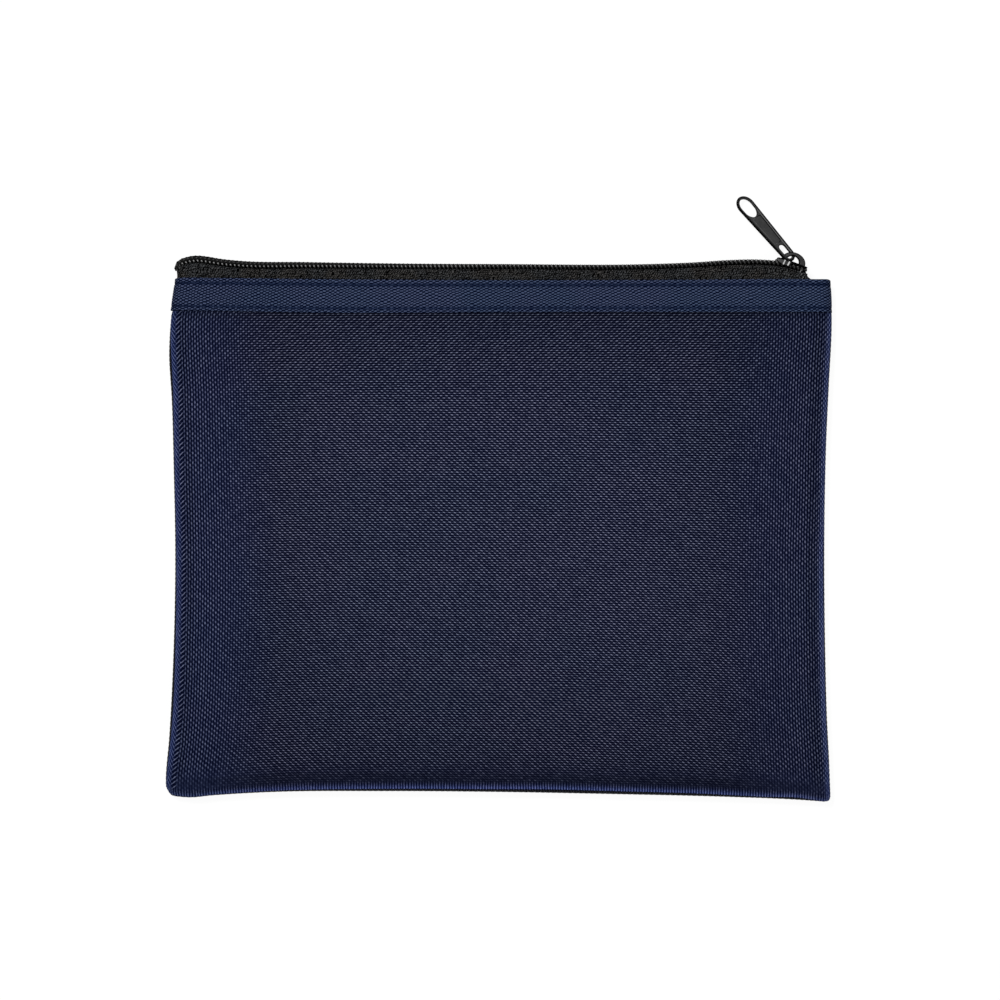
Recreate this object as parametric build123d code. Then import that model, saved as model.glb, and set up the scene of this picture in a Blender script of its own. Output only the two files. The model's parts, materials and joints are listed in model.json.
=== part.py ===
"""Flat zip pouch of woven mesh, lying closed on its back.

X runs along the zip, Y from the bottom seam up to the zip, and Z from the back panel up to the front panel.
The origin is on the underside of the back panel, under the middle of the pouch. Lengths are in millimetres.
"""

import math
import os

from build123d import *

# Outline of the cloth body, seen from the front
mouth_half_width = 115.0
waist_half_width = 113.6
bottom_half_width = 116.2
body_height = 179.2
bottom_middle_y = -102.0
bottom_corner_drop = 3.0
waist_y = -12.0
seam_land = 0.3
corner_extra = 0.6

# Cloth and thread
mesh_thickness = 0.4
webbing_thickness = 0.4
webbing_width = 11.7
tape_thickness = 0.35
binding_thickness = 0.3
layer_gap = 0.05
stitch_height = 0.2
stitch_width = 0.5
stitch_length = 2.2
stitch_pitch = 3.0
stitch_edge_distance = 2.1

# Seams, turned to the inside
seam_gap = 0.06
seam_allowance = 6.0
binding_cover = 4.2

# Zip
coil_pitch = 1.46
coil_turn_width = 0.85
coil_height = 1.75
coil_spine_width = 1.2
coil_reach = 0.65
coil_slit = 0.7
cord_radius = 0.4
cord_gap = 0.05
tape_rise = 3.45
tape_overlap = 7.2
tape_fold_radius = 0.25
tape_left_setback = 5.2
tape_right_setback = 7.25
tail_setback = 5.2
tail_drop = 0.7
coil_end_gap = 0.6

# Slider
slider_length = 10.5
slider_end_gap = 0.3
slider_side_gap = 0.35
slider_flange = 0.85
slider_corner_radius = 1.0
slider_rim_radius = 0.25
plate_thickness = 0.8
coil_side_gap = 0.25
coil_top_gap = 0.15
tape_gap = 0.3
post_thickness = 0.4
post_length = 2.4
post_setback = 0.9

# Bridge on the slider, which the tab hangs on
bridge_inner_radius = 2.6
bridge_strap = 1.25
bridge_depth = 0.9
bridge_post = 0.3
bridge_offset = 0.75

# Pull tab, at the angles that it lies at
tab_angle = 130.0
tab_pitch = 4.0
tab_twist = 38.0
tab_reach = 29.3
tab_tip_half_width = 3.44
tab_thickness = 0.7
tab_leg = 0.75
tab_bar = 0.8
tab_rim = 0.7
tab_recess = 0.12
tab_gap = 0.15
slot_length = 6.6
slot_corner_radius = 0.4
eye_length = 8.0
eye_rim = 0.4
eye_setback = 0.9

# Thread that ties the tape ends beyond the slider
tack_count = 5
tack_length = 1.6
tack_pitch = 0.55
tack_setback = 1.3

# How far a cutting block runs past what it cuts
overrun = 5.0

# Layers from the outside in: thread, webbing, mesh, zip tape, each given by its depth below the outer face
webbing_depth = stitch_height
tuck_depth = webbing_depth + webbing_thickness + layer_gap
tape_depth = tuck_depth + mesh_thickness + layer_gap

# Widths across the zip, measured from its middle
slit_half = coil_slit / 2
coil_half_width = slit_half + coil_reach + coil_spine_width
flange_inner = coil_half_width + coil_side_gap
slider_half_width = flange_inner + slider_flange
tape_inner = slider_half_width + slider_side_gap
tape_outer = tape_inner + tape_thickness

# The zip's width and the layers over it give the pouch its thickness
middle_z = tape_outer + tape_depth
pouch_thickness = 2 * middle_z
roll_radius = middle_z - seam_land
corner_radius = roll_radius + corner_extra

# Heights in the outline
webbing_top = bottom_middle_y + body_height
webbing_low = webbing_top - webbing_width
bottom_corner_y = bottom_middle_y - bottom_corner_drop
cut_half_width = max(mouth_half_width, waist_half_width, bottom_half_width) + overrun
binding_depth = seam_allowance + layer_gap + binding_thickness
binding_top = webbing_low - seam_allowance
binding_split = bottom_middle_y + binding_depth + corner_radius
tape_low = webbing_top - tape_overlap
roof_top = webbing_top + tape_rise
roof_under = roof_top - tape_thickness
tail_top = webbing_top - tail_drop
coil_top = roof_top + coil_height
plate_under = coil_top + coil_top_gap
plate_top = plate_under + plate_thickness

# Ends of the zip
tape_left = tape_left_setback - mouth_half_width
tape_right = mouth_half_width - tape_right_setback
tail_right = mouth_half_width - tail_setback
coil_left = tape_left + coil_end_gap
coil_right = tape_right - tape_thickness - coil_end_gap
slider_right = tape_right - tape_thickness - slider_end_gap
slider_middle = slider_right - slider_length / 2

# Middle of the bridge's arch, which the tab swings about
pivot_x = slider_middle + bridge_offset
pivot_y = plate_top + bridge_post

to_zip = (0, 1, 0)
along_zip = (1, 0, 0)


def outline(inset):
    """The cloth body's outline, with drawn-in sides and bottom, carried on past the mouth, evenly inset."""
    top_y = webbing_top + overrun
    bottom_left = (-bottom_half_width, bottom_corner_y)
    bottom_right = (bottom_half_width, bottom_corner_y)
    top_left = (-mouth_half_width, top_y)
    top_right = (mouth_half_width, top_y)
    face = make_face(
        [
            ThreePointArc(bottom_left, (0, bottom_middle_y), bottom_right),
            ThreePointArc(bottom_right, (waist_half_width, waist_y), top_right),
            Line(top_right, top_left),
            ThreePointArc(top_left, (-waist_half_width, waist_y), bottom_left),
        ]
    )
    face = fillet(face.vertices().sort_by(Axis.Y)[:2], corner_radius)
    return offset(face, -inset) if inset else face


def full_round(depth):
    """The pouch's outer form, rolled over at its sides and bottom, sunk evenly by a depth."""
    block = Pos(0, 0, depth) * extrude(outline(depth), pouch_thickness - 2 * depth)
    flats = block.faces().sort_by(Axis.Z)
    rims = [edge for flat in (flats[0], flats[-1]) for edge in flat.edges().sort_by(Axis.Y)[:-1]]
    return fillet(rims, roll_radius - depth)


def below(y):
    """A block that holds everything nearer to the bottom seam than y."""
    low = bottom_corner_y - overrun
    return Pos(0, (low + y) / 2, middle_z) * Box(2 * cut_half_width, y - low, pouch_thickness + overrun)


def front_half(shape):
    """The part of a shape that lies on the front's side of the seam."""
    height = pouch_thickness + overrun
    block = Box(2 * cut_half_width, 2 * (body_height + overrun), height)
    return shape & Pos(0, 0, middle_z + seam_gap / 2 + height / 2) * block


def on_back(shape):
    """The back's twin of a piece on the front."""
    return mirror(shape, Plane.XY.offset(middle_z))


def front_mesh_panel():
    outside = (full_round(0) & below(webbing_low)) + (full_round(tuck_depth) & below(webbing_top))
    main_inside = full_round(mesh_thickness) & below(webbing_low - mesh_thickness)
    inside = main_inside + full_round(tuck_depth + mesh_thickness)
    ring = outline(mesh_thickness / 2) - outline(seam_allowance)
    turned_edge = Pos(0, 0, middle_z + seam_gap / 2) * extrude(ring, mesh_thickness)
    return front_half(outside - inside) + (turned_edge & below(webbing_low - mesh_thickness))


def front_webbing():
    band = full_round(webbing_depth) - full_round(webbing_depth + webbing_thickness)
    return front_half((band & below(webbing_top)) - below(webbing_low + layer_gap))


def stitch(place):
    """One stitch, standing on a plane whose X axis is the way that the row runs."""
    return place * extrude(SlotOverall(stitch_length, stitch_width), stitch_height)


def webbing_stitching(y):
    """A row of stitches along the front webbing."""
    count = int(2 * (mouth_half_width - roll_radius - stitch_pitch) / stitch_pitch)
    first = -(count - 1) * stitch_pitch / 2
    z = pouch_thickness - stitch_height
    return Compound([stitch(Pos(first + i * stitch_pitch, y, z)).solid() for i in range(count)])


def seam_bindings():
    """Binding tape folded over the two turned edges: left, bottom and right runs."""
    edge_half = seam_gap / 2 + mesh_thickness + layer_gap
    tape_half = edge_half + binding_thickness
    band = outline(seam_allowance - binding_cover) - outline(binding_depth)
    hollow = outline(0) - outline(binding_depth - binding_thickness)
    folded = extrude(band, tape_half, both=True) - extrude(hollow, edge_half, both=True)
    folded = (Pos(0, 0, middle_z) * folded) & below(binding_top)
    sides = folded - below(binding_split + layer_gap)
    half = Box(cut_half_width, 2 * (body_height + overrun), pouch_thickness)
    left = sides & Pos(-cut_half_width / 2, 0, middle_z) * half
    right = sides & Pos(cut_half_width / 2, 0, middle_z) * half
    return left, folded & below(binding_split), right


def seam_stitching(edge, within):
    """Stitches along one seam, on the binding, where within says that they belong."""
    z = middle_z + seam_gap / 2 + mesh_thickness + layer_gap + binding_thickness
    count = int(edge.length / stitch_pitch)
    found = []
    for i in range(count):
        share = (i + 0.5) / count
        point = edge.position_at(share)
        run = edge.tangent_at(share)
        if within(point):
            place = Plane(origin=(point.X, point.Y, z), x_dir=(run.X, run.Y, 0), z_dir=(0, 0, 1))
            found.append(stitch(place).solid())
    return Compound(found)


def seam_stitchings():
    """The stitches of the left, bottom and right seams."""
    runs = outline(seam_allowance - binding_cover / 2).edges().sort_by(SortBy.LENGTH)[-4:]
    left, right = runs.sort_by(Axis.X)[0], runs.sort_by(Axis.X)[-1]
    bottom = runs.sort_by(Axis.Y)[0]

    def on_side(point):
        return binding_split + stitch_length < point.Y < binding_top - stitch_length

    def on_bottom(point):
        return point.Y < binding_split

    return seam_stitching(left, on_side), seam_stitching(bottom, on_bottom), seam_stitching(right, on_side)


def folded_tape(left, right, top):
    """A length of the front zip tape: up inside the panel, then folded over towards the middle of the zip."""
    inner_z, outer_z = middle_z + tape_inner, middle_z + tape_outer
    lip_z = middle_z + slit_half
    under = top - tape_thickness
    section = Polyline(
        (left, tape_low, inner_z),
        (left, under, inner_z),
        (left, under, lip_z),
        (left, top, lip_z),
        (left, top, outer_z),
        (left, tape_low, outer_z),
        close=True,
    )
    tape = extrude(make_face(section), right - left, dir=along_zip)
    fold = tape.edges().filter_by(Axis.X).sort_by(lambda edge: edge.center().Y + edge.center().Z)[-1]
    return fillet(fold, tape_fold_radius)


def front_zip_tape():
    """The tape, with its right end turned down behind the slider and tucked in under the webbing."""
    end_middle = Vector(
        tape_right - tape_thickness / 2,
        (tail_top + roof_under) / 2,
        middle_z + (slit_half + tape_inner) / 2,
    )
    end_wall = Pos(end_middle) * Box(
        tape_thickness, roof_under - tail_top + tape_thickness, tape_inner - slit_half + tape_thickness
    )
    tail = folded_tape(tape_right - tape_thickness, tail_right, tail_top)
    return folded_tape(tape_left, tape_right, roof_top) + end_wall + tail


def front_coil():
    """Nylon turns reaching from a spine towards the middle of the zip, with a bore for the cord."""
    count = int((coil_right - coil_left) / coil_pitch)
    start = coil_right - count * coil_pitch
    spine_z = middle_z + slit_half + coil_reach
    lip_z = middle_z + slit_half
    outer_z = middle_z + coil_half_width
    points = [(start, roof_top, outer_z)]
    for i in range(count):
        turn = start + i * coil_pitch
        points += [
            (turn, roof_top, spine_z),
            (turn, roof_top, lip_z),
            (turn + coil_turn_width, roof_top, lip_z),
            (turn + coil_turn_width, roof_top, spine_z),
        ]
    points += [(coil_right, roof_top, spine_z), (coil_right, roof_top, outer_z)]
    turns = extrude(make_face(Polyline(*points, close=True)), coil_height, dir=to_zip)
    bore = cord_run(start - overrun, coil_right + overrun, cord_radius + cord_gap)
    return turns - bore


def cord_run(left, right, radius):
    """A round length along the middle of the front coil's spine."""
    place = Plane(
        origin=(left, roof_top + coil_height / 2, middle_z + coil_half_width - coil_spine_width / 2),
        x_dir=to_zip,
        z_dir=along_zip,
    )
    return place * extrude(Circle(radius), right - left)


def slider_plate(low, high):
    """One of the slider's two plates, with rounded corners, from one height to another."""
    place = Plane(origin=(slider_middle, low, middle_z), x_dir=along_zip, z_dir=to_zip)
    return place * extrude(
        RectangleRounded(slider_length, 2 * slider_half_width, slider_corner_radius), high - low
    )


def bridge():
    """The cast arch on the slider's top plate."""
    outer_radius = bridge_inner_radius + bridge_strap
    above = Pos(pivot_x, pivot_y + outer_radius / 2) * Rectangle(2 * outer_radius, outer_radius)
    rings = Pos(pivot_x, pivot_y) * (Circle(outer_radius) - Circle(bridge_inner_radius))
    foot_height = bridge_post + slider_rim_radius
    side = bridge_inner_radius + bridge_strap / 2
    foot = Rectangle(bridge_strap, foot_height)
    foot_y = pivot_y - foot_height / 2
    feet = Pos(pivot_x - side, foot_y) * foot + Pos(pivot_x + side, foot_y) * foot
    return Pos(0, 0, middle_z) * extrude((rings & above) + feet, bridge_depth / 2, both=True)


def slider_body():
    """Two plates joined by a thin post that runs between the coils, side flanges and the bridge."""
    top = slider_plate(plate_under, plate_top)
    top = fillet(top.faces().sort_by(Axis.Y)[-1].edges(), slider_rim_radius)
    bottom_top = roof_under - tape_gap
    bottom = slider_plate(bottom_top - plate_thickness, bottom_top)
    flange_low = roof_top + tape_gap
    flange_size = Box(
        slider_length - 2 * slider_corner_radius,
        plate_under - flange_low + plate_thickness / 2,
        slider_flange,
    )
    flange_y = (plate_under + plate_thickness / 2 + flange_low) / 2
    flange_offset = flange_inner + slider_flange / 2
    front_flange = Pos(slider_middle, flange_y, middle_z + flange_offset) * flange_size
    back_flange = Pos(slider_middle, flange_y, middle_z - flange_offset) * flange_size
    post_low, post_high = bottom_top - plate_thickness / 2, plate_under + plate_thickness / 2
    post_middle = Vector(
        slider_right - post_setback - post_length / 2, (post_low + post_high) / 2, middle_z
    )
    post = Pos(post_middle) * Box(post_length, post_high - post_low, post_thickness)
    return top + bottom + front_flange + back_flange + post + bridge()


def tab_plane():
    """The tab's own plane: X towards its tip, with the origin where the bridge's strap goes through it."""
    turn, pitch, twist = (math.radians(a) for a in (tab_angle, tab_pitch, tab_twist))
    ahead = Vector(math.cos(turn), math.sin(turn), 0)
    beside = Vector(math.sin(turn), -math.cos(turn), 0)
    up = Vector(0, 0, 1)
    tip_way = ahead * math.cos(pitch) - up * math.sin(pitch)
    raised = up * math.cos(pitch) + ahead * math.sin(pitch)
    facing = raised * math.cos(twist) + beside * math.sin(twist)
    strap = Vector(pivot_x, pivot_y, middle_z) + ahead * strap_radius()
    return Plane(origin=strap, x_dir=tip_way, z_dir=facing)


def strap_radius():
    """Radius of the bridge's arch along the middle of its strap."""
    return bridge_inner_radius + bridge_strap / 2


def slot_half_width():
    """Half the slot's width that lets the strap through at the tab's twist."""
    twist = math.radians(tab_twist)
    slope = bridge_strap * math.sin(math.radians(tab_pitch))
    half_depth = bridge_depth / 2 + tab_thickness / 2 * math.cos(twist) + slope + tab_gap
    return half_depth / math.sin(twist)


def slot_start():
    """Where the slot starts, measured from the pivot, so that the tab's end bar clears the strap's inside."""
    twist = math.radians(tab_twist)
    widest = (slot_half_width() - slot_corner_radius) * math.cos(twist) + tab_thickness / 2 * math.sin(twist)
    return math.sqrt((bridge_inner_radius - tab_gap) ** 2 - widest**2)


def taper(root, tip, root_radius, tip_radius):
    """A face with round ends and straight sides between two places along X."""
    ends = (Pos(root, 0) * Circle(root_radius)).edges() + (Pos(tip, 0) * Circle(tip_radius)).edges()
    return make_hull(ends)


def pull_tab():
    """A tapered tab with an eye at its tip, a slot at its root and a shallow field on both faces."""
    strap = strap_radius()
    root_half_width = slot_half_width() + tab_leg
    slot_low = slot_start() - strap
    slot_high = slot_low + slot_length
    root = slot_low - tab_bar + root_half_width
    tip = tab_reach - strap - tab_tip_half_width
    plate = taper(root, tip, root_half_width, tab_tip_half_width)

    slot_place = Pos((slot_low + slot_high) / 2, 0)
    slot = slot_place * RectangleRounded(slot_length, 2 * slot_half_width(), slot_corner_radius)
    eye_half_width = tab_tip_half_width - eye_rim
    eye_middle = tab_reach - strap - eye_setback - eye_length / 2
    eye = Pos(eye_middle, 0) * Ellipse(eye_length / 2, eye_half_width)

    field_low = slot_high + tab_rim
    field_high = eye_middle - eye_length / 2 - tab_rim
    run = tip - root
    slope = (tab_tip_half_width - root_half_width) / run
    low_half = root_half_width + slope * (field_low - root) - tab_rim
    high_half = root_half_width + slope * (field_high - root) - tab_rim
    field = make_face(
        Polyline(
            (field_low, -low_half),
            (field_high, -high_half),
            (field_high, high_half),
            (field_low, low_half),
            close=True,
        )
    )
    half_thickness = tab_thickness / 2
    body = extrude(plate - slot - eye, half_thickness, both=True)
    skins = extrude(field, half_thickness, both=True) - extrude(field, half_thickness - tab_recess, both=True)
    return tab_plane() * (body - skins)


def right_bar_tack():
    """Short stitches across the tape's right end, on its front."""
    x = tape_right - tack_setback
    low = webbing_top + tack_pitch
    z = middle_z + tape_outer
    short = extrude(SlotOverall(tack_length, stitch_width), stitch_height)
    return Compound([(Pos(x, low + i * tack_pitch, z) * short).solid() for i in range(tack_count)])


def build():
    """Every piece of the pouch by name."""
    mesh, webbing, tape, coil = front_mesh_panel(), front_webbing(), front_zip_tape(), front_coil()
    cord = cord_run(coil_left, coil_right, cord_radius)
    upper = webbing_stitching(webbing_top - stitch_edge_distance)
    lower = webbing_stitching(webbing_low + stitch_edge_distance)
    left_binding, bottom_binding, right_binding = seam_bindings()
    left_thread, bottom_thread, right_thread = seam_stitchings()
    return {
        "front_mesh_panel": mesh,
        "back_mesh_panel": on_back(mesh),
        "front_webbing": webbing,
        "back_webbing": on_back(webbing),
        "front_upper_stitching": upper,
        "front_lower_stitching": lower,
        "back_upper_stitching": on_back(upper),
        "back_lower_stitching": on_back(lower),
        "left_seam_binding": left_binding,
        "bottom_seam_binding": bottom_binding,
        "right_seam_binding": right_binding,
        "left_seam_stitching": left_thread,
        "bottom_seam_stitching": bottom_thread,
        "right_seam_stitching": right_thread,
        "front_zip_tape": tape,
        "back_zip_tape": on_back(tape),
        "front_coil": coil,
        "back_coil": on_back(coil),
        "front_coil_cord": cord,
        "back_coil_cord": on_back(cord),
        "right_bar_tack": right_bar_tack(),
        "slider_body": slider_body(),
        "pull_tab": pull_tab(),
    }


os.makedirs("parts", exist_ok=True)
for name, shape in build().items():
    export_step(shape, f"parts/{name}.step")
print("pivot", pivot_x, pivot_y, middle_z)
print("thickness", pouch_thickness, "slider", slider_right - slider_length, slider_right, "plate", plate_top)
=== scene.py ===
"""Looks of a flat zip pouch of woven mesh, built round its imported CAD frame.

Places and sizes are in millimetres in the row's frame, and become metres where a mesh is made.
"""

import json
import math
from types import SimpleNamespace

import bpy
import numpy as np
from mathutils import Matrix, Vector


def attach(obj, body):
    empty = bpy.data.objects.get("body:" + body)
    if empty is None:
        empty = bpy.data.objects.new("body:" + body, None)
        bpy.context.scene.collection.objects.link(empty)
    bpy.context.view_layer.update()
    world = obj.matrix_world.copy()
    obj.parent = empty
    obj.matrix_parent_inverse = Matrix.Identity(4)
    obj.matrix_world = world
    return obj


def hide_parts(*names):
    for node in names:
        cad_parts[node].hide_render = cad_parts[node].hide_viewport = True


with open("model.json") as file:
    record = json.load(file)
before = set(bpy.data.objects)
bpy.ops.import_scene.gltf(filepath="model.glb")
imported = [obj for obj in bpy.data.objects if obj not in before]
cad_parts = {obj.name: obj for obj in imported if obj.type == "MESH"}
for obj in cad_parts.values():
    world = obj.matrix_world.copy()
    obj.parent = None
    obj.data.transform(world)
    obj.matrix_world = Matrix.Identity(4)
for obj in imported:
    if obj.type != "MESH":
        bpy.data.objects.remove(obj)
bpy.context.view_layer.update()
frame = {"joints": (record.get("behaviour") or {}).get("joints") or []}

MM = 0.001
RIGHT_ANGLE = math.pi / 2
UP = (0, 0, 1)
FACES = {"front": 1, "back": -1}

# Levels of the lying pouch, and how far the tapes lie from its seam
MIDDLE = 5.1
FRONT_LEVEL = 9.75
BACK_LEVEL = 0.14
WEBBING_LEVEL = 10.05
TAPE_OFFSET = 3.55

# Mesh cloth: the mean sizes set the count of threads
MEAN_HALF_WIDTH = 114.3
MEAN_DEPTH = 102.5
HALF_WIDTH = 115
CLOTH_TOP = 70.5
ROLL = 4.6
CORNER = 2.7
TUCK = 0.45
WARP_PITCH = 0.938
WEFT_PITCH = 0.84
RELIEF = 0.09
SAG = 1.1
SAG_MIDDLE = -18
SAG_HALF_WIDTH, SAG_HALF_HEIGHT = 108, 84
RIPPLE = 0.14

# Where the painted light on the cloth is brightest, and how far that reaches sideways, up and down
BRIGHT_MIDDLE = 2
BRIGHT_SIDEWAYS, BRIGHT_UP, BRIGHT_DOWN = 116, 71, 108

# Webbing
WEBBING_LOW = 65.4
WEBBING_WIDTH = 11.3
WEBBING_HALF_LENGTH = 117
WEBBING_HALF_REACH = 115.5
WEBBING_PROUD_LEFT, WEBBING_PROUD_RIGHT = 0.5, 0.15
WEBBING_THICKNESS = 0.4
WEBBING_WARP = 1.03
WEBBING_WEFT = 0.49
RIB_RELIEF = 0.035
STITCH_ROWS = {"upper": 0.16, "lower": 0.87}
GROOVE_SHARES = (1.0, 0.8)
GROOVE_DEPTH = 0.16
GROOVE_WIDTH = 0.42

# Thread
STITCH_PITCH = 3.0
STITCH_LENGTH = 2.3
STITCH_RADIUS = 0.2
STITCHED_HALF = 108

# Seams inside
SEAM_TOP, SEAM_LOW = 58.0, -95.0
SEAM_HALF_WIDTH = 105.0
BINDING_STEP = 2.0
BINDING_HALF = 0.75
BINDING_COVER = 4.2
BINDING_INSET = 6.2
BINDING_THICKNESS = 0.25
SEAM_STITCH_INSET = 4.0
SEAM_STITCH_RISE = 0.8

# Coils and their cords
COIL_PITCH = 1.46
COIL_STEPS = 24
COIL_SIDES = 10
COIL_HEIGHT = 0.6
COIL_DEPTH = 1.1
COIL_OFFSET = 1.05
COIL_WIRE = 0.34
COIL_HEAD = 0.54
COIL_TOP = 25
CORD_RADIUS = 0.6
CORD_RISE = 0.4
CORD_OUT = 0.25

# Zip tape, which closes round the zip's left end
TAPE_BASE = 70.2
TAPE_THICKNESS = 0.3
TAPE_FOLD = 0.7
TAPE_INNER = 0.35
TAPE_LEFT, TAPE_RIGHT, TAPE_STEP = -113.0, 107.2, 0.5
TAPE_END = 107.0
TAPE_CORNER_END = -110
TAPE_CLOSING, TAPE_CLOSED_RADIUS = -108.2, 4.9
TAPE_DRAWN_LEFT, TAPE_DRAWN_RIGHT = 108, 103
BACK_TAPE_DROP = 0.3
TWILL_PITCH = 0.82

# Bar tack
TACK_RISE = 0.12
TACK_RUN = (0.5, 0.866, 0)
TACK_LENGTH, TACK_RADIUS = 1.2, 0.16
tack_places = [(104.8, 79.8), (105.15, 78.65), (105.6, 77.45)]

# Slider; each arch is (middle, half width, height)
SLIDER_MIDDLE = (101.85, 81.5)
SLIDER_TILT = -20.0
SLIDER_HALF_WIDTH = 3.3
SLIDER_EDGE = 0.16
FLANGE_INNER, FLANGE_INSET = 2.45, 0.02
POST_HALF = 0.35
ARCH_OUTER = (0.12, 4.2, 3.25)
ARCH_INNER = (-0.15, 2.45, 2.25)
ARCH_FOOT = 1.9
ARCH_DEPTH = 0.9
ARCH_POINTS = 33
BRIDGE_FOOT = 1.5
OUTER_BEAD, INNER_BEAD, WING_BEAD = 0.13, 0.22, 0.15
METAL_SIDES = 12

# The slider's outlines, as (along the zip, out of it), and its ribs, as (top, foot, radius)
plate_outline = [(-5.35, 0.95), (-3.2, 1.22), (4.9, 1.0), (5.2, 1.12), (5.15, 1.38), (4.7, 1.62),
                 (-3.2, 1.72), (-5.2, 1.4)]
wing_outline = [(-5.2, 1.3), (-5.6, 1.15), (-5.8, 0.75), (-5.7, 0.3), (-5.3, 0.0), (-4.4, -0.25),
                (-3.3, -0.48), (-1.4, -0.35), (-1.0, -0.05), (-0.8, 0.5), (-0.6, 0.95), (2.0, 1.05),
                (5.1, 1.1), (5.2, 1.4)]
under_outline = [(-5.0, -2.2), (3.6, -2.2), (4.0, -1.5), (-5.4, -1.5)]
post_outline = [(1.8, -1.7), (4.2, -1.7), (4.2, 1.4), (1.8, 1.4)]
slider_ribs = [((-2.95, 1.3), (-3.1, -0.42), 0.24), ((-1.3, 1.3), (-1.5, -0.25), 0.3)]

# Tab, on the CAD hinge: its ends are (middle, radius), its eye (middle, half length, half width), and its
# slot and field (start, end, half widths there, corner radius)
TAB_ANGLE, TAB_PITCH, TAB_TWIST = 130.0, 4.0, 38.0
TAB_STRAP = 3.225
TAB_ROOT = (3.05, 2.45)
TAB_TIP = (25.35, 3.5)
TAB_EYE = (24.45, 4.05, 2.88)
TAB_SLOT = (1.2, 7.3, 1.45, 1.5, 1.3)
TAB_FIELD = (8.3, 20.0, 1.75, 2.2, 0.5)
TAB_HALF_THICKNESS, TAB_EDGE = 0.18, 0.05
TAB_BEAD = 0.5
TAB_BEAD_INSET = 0.04
TAB_PALE_INSET = 0.52
TAB_PALE_END = 21
EYE_MARGIN, EYE_BEAD_MARGIN, EYE_BEAD = 0.05, 0.12, 0.2
LOOP_SIDES = 16

# Beads on both faces of the tab, as (level, radius)
SLOT_BEADS = (0.12, 0.13)
FIELD_BEADS = (0.12, 0.18)
PALE_BEADS = (0.2, 0.13)


def curve_through(points):
    """A smooth curve through (place, value) points, as a function of place."""
    place, value = np.array(points, float).T
    slope = np.gradient(value, place)

    def read(at):
        at = np.clip(at, place[0], place[-1])
        k = np.clip(np.searchsorted(place, at, side="right") - 1, 0, len(place) - 2)
        run = place[k + 1] - place[k]
        t = (at - place[k]) / run
        start = (1 + 2 * t) * (1 - t) ** 2 * value[k] + t * (1 - t) ** 2 * run * slope[k]
        end = t**2 * (3 - 2 * t) * value[k + 1] + t**2 * (t - 1) * run * slope[k + 1]
        return start + end

    return read


# Edges of the pouch, as (place along the edge, distance across), read off the photograph
left_at = curve_through([
    (-106, 116.7), (-98, 116.9), (-83, 115.7), (-56, 114.3), (-16, 113.6), (10, 114.1), (35, 114.8),
    (52, 115.7), (66, 114.8), (78, 113.1)])
right_at = curve_through([
    (-107, 115.7), (-91, 115.1), (-77, 114.4), (-55, 113.8), (0, 113.6), (20, 114.1), (40, 115.0),
    (61, 116.0), (70, 115.9), (78, 115.4)])
bottom_at = curve_through([
    (-118, -101.0), (-114, -102.3), (-109, -103.5), (-104, -104.0), (-96, -103.3), (-78, -102.2),
    (-38, -101.8), (0, -102.1), (36, -102.8), (76, -103.8), (100, -104.8), (118, -106.2)])

# How far the back panel shows beyond the front one
left_peek_at = curve_through([
    (-104, 0.1), (-91, 0.6), (-70, 1.0), (-49, 0.85), (-21, 0.65), (0, 0.5), (28, 0.65), (52, 0.9),
    (62, 0.2)])
right_peek_at = curve_through([
    (-104, 0.1), (-91, 0.4), (-70, 0.65), (-49, 0.65), (-21, 0.55), (0, 0.25), (28, 0.35), (52, 0.35),
    (63, 0.1)])
bottom_peek_at = curve_through([
    (-112, 0.1), (-91, 0.45), (-70, 0.7), (-42, 1.0), (0, 1.2), (14, 1.4), (42, 1.3), (70, 1.1),
    (91, 0.75), (101, 1.0), (109, 0.2)])

# How far the strokes of the weave slant, falling to the right where it is below zero, as (y, slant)
slant_at = curve_through([(-104, -1.0), (-60, -0.95), (0, -0.65), (35, -0.4), (55, 0.3), (66, 0.6)])

# Edges of the webbing, as (x, y)
webbing_top_at = curve_through([
    (-116, 77.2), (-112, 77.4), (-100, 77.35), (-60, 76.9), (0, 76.6), (60, 76.7), (108, 76.9),
    (113.5, 76.8), (115.0, 76.4), (116, 75.4)])
webbing_low_at = curve_through([
    (-116, 66.3), (-100, 65.95), (-56, 65.2), (0, 65.4), (60, 65.5), (116, 65.5)])

# Middle line of the closed zip, as (x, y)
zip_line = [(-112.5, 80.5), (-112.7, 81.3), (-112.45, 82.2), (-111.5, 83.1), (-109.75, 83.75), (-107.8, 84.2),
            (-105.7, 84.3), (-102.8, 84.0), (-98, 83.2), (-91, 82.5), (-68, 82.1), (-33, 81.65), (0, 81.5),
            (52, 81.5), (68, 82.1), (80, 82.9), (90, 83.1), (96.5, 82.65), (101.85, 81.6), (106.9, 79.95)]

# Along the zip: its roll and the place of the painted shine on a turn, in degrees, and that shine's strength
chain_roll_at = curve_through([
    (-113, 16), (-100, 14), (-85, 13), (-48, 9), (-17, 6.5), (0, 5), (60, 4), (107, 4)])
shine_place_at = curve_through([
    (-113, 98), (-100, 96), (-85, 90), (-48, 76), (-17, 66), (0, 60), (60, 46), (107, 38)])
shine_level_at = curve_through([
    (-113, 1.0), (-85, 0.85), (-48, 0.7), (0, 0.62), (60, 0.68), (92, 0.9), (107, 0.9)])

# The tape's fold: how far it lies below the zip's middle line, as (x, drop), and its left end, as (x, y)
tape_drop_at = curve_through([(-113, 1.5), (-90, 1.5), (-55, 1.15), (-20, 1.0), (107, 1.0)])
tape_corner = [(-113.2, 81.0), (-112.6, 81.7), (-111.6, 82.3)]

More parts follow.
